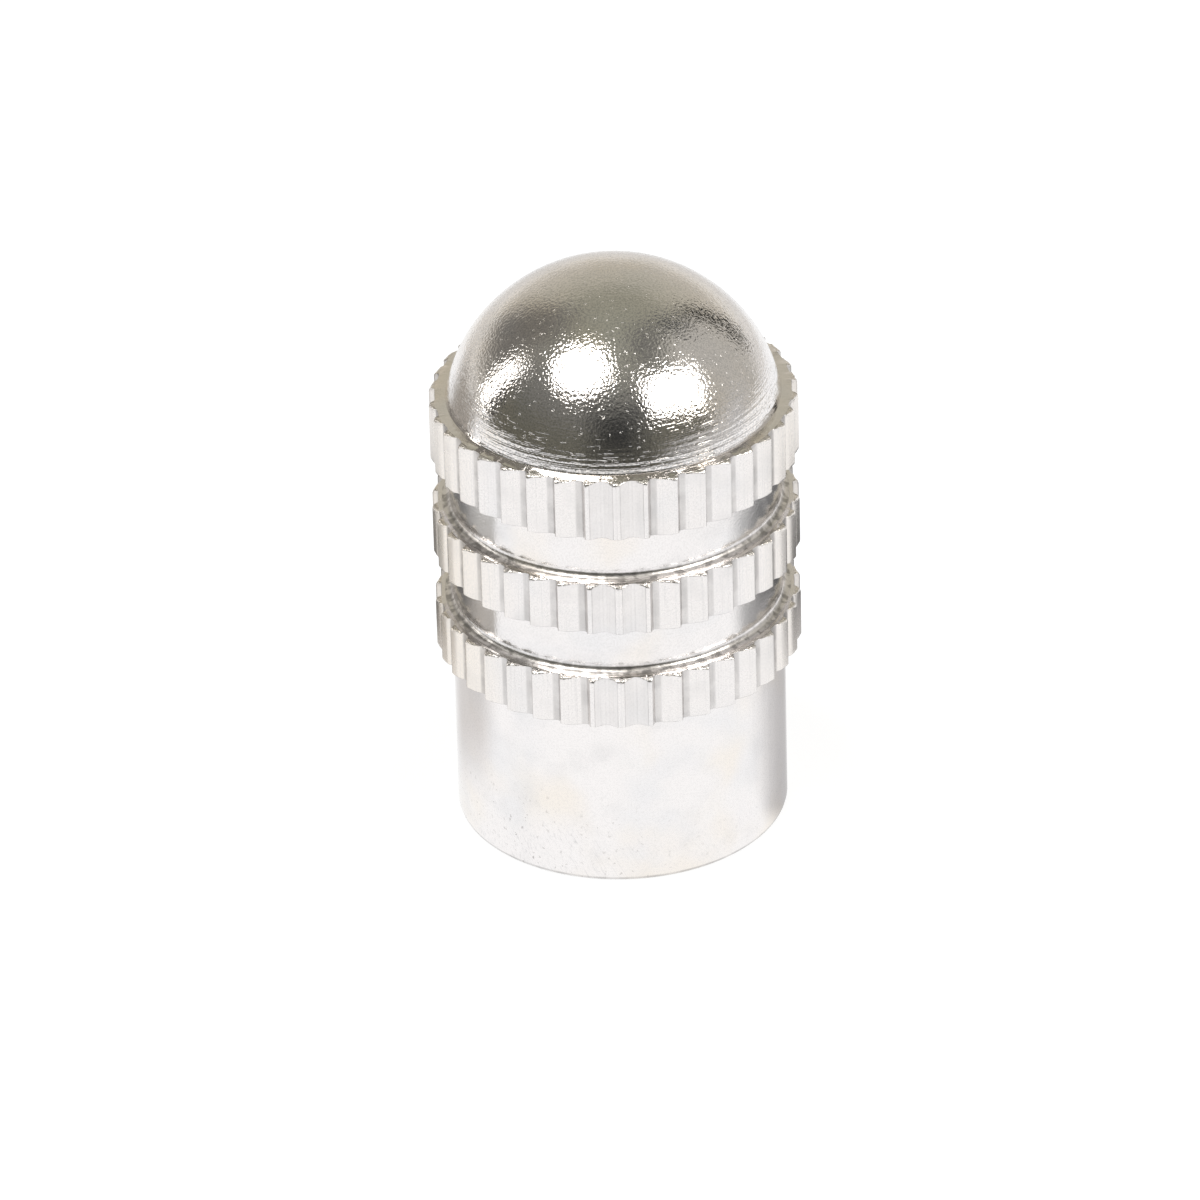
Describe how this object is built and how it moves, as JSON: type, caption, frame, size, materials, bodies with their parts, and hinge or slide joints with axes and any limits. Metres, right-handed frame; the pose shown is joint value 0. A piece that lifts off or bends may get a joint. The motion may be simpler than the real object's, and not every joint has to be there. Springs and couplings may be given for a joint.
{
  "type": "tyre valve cap",
  "caption": "Domed metal tyre valve cap with straight-knurled bands, a plain skirt and a blind threaded bore with a rubber sealing washer; it screws on a valve stem.",
  "frame": {"origin": "centre of the open rim that the cap stands on", "axes": "+Z along the cap's axis, from the open rim to the top of the dome"},
  "size_m": [0.01, 0.01, 0.0165],
  "materials": {
    "nickel_plate": "bright nickel plating on turned brass",
    "washer_rubber": "matt black rubber"
  },
  "bodies": {
    "root": {"cap_shell": "nickel_plate", "sealing_washer": "washer_rubber"}
  },
  "joints": []
}
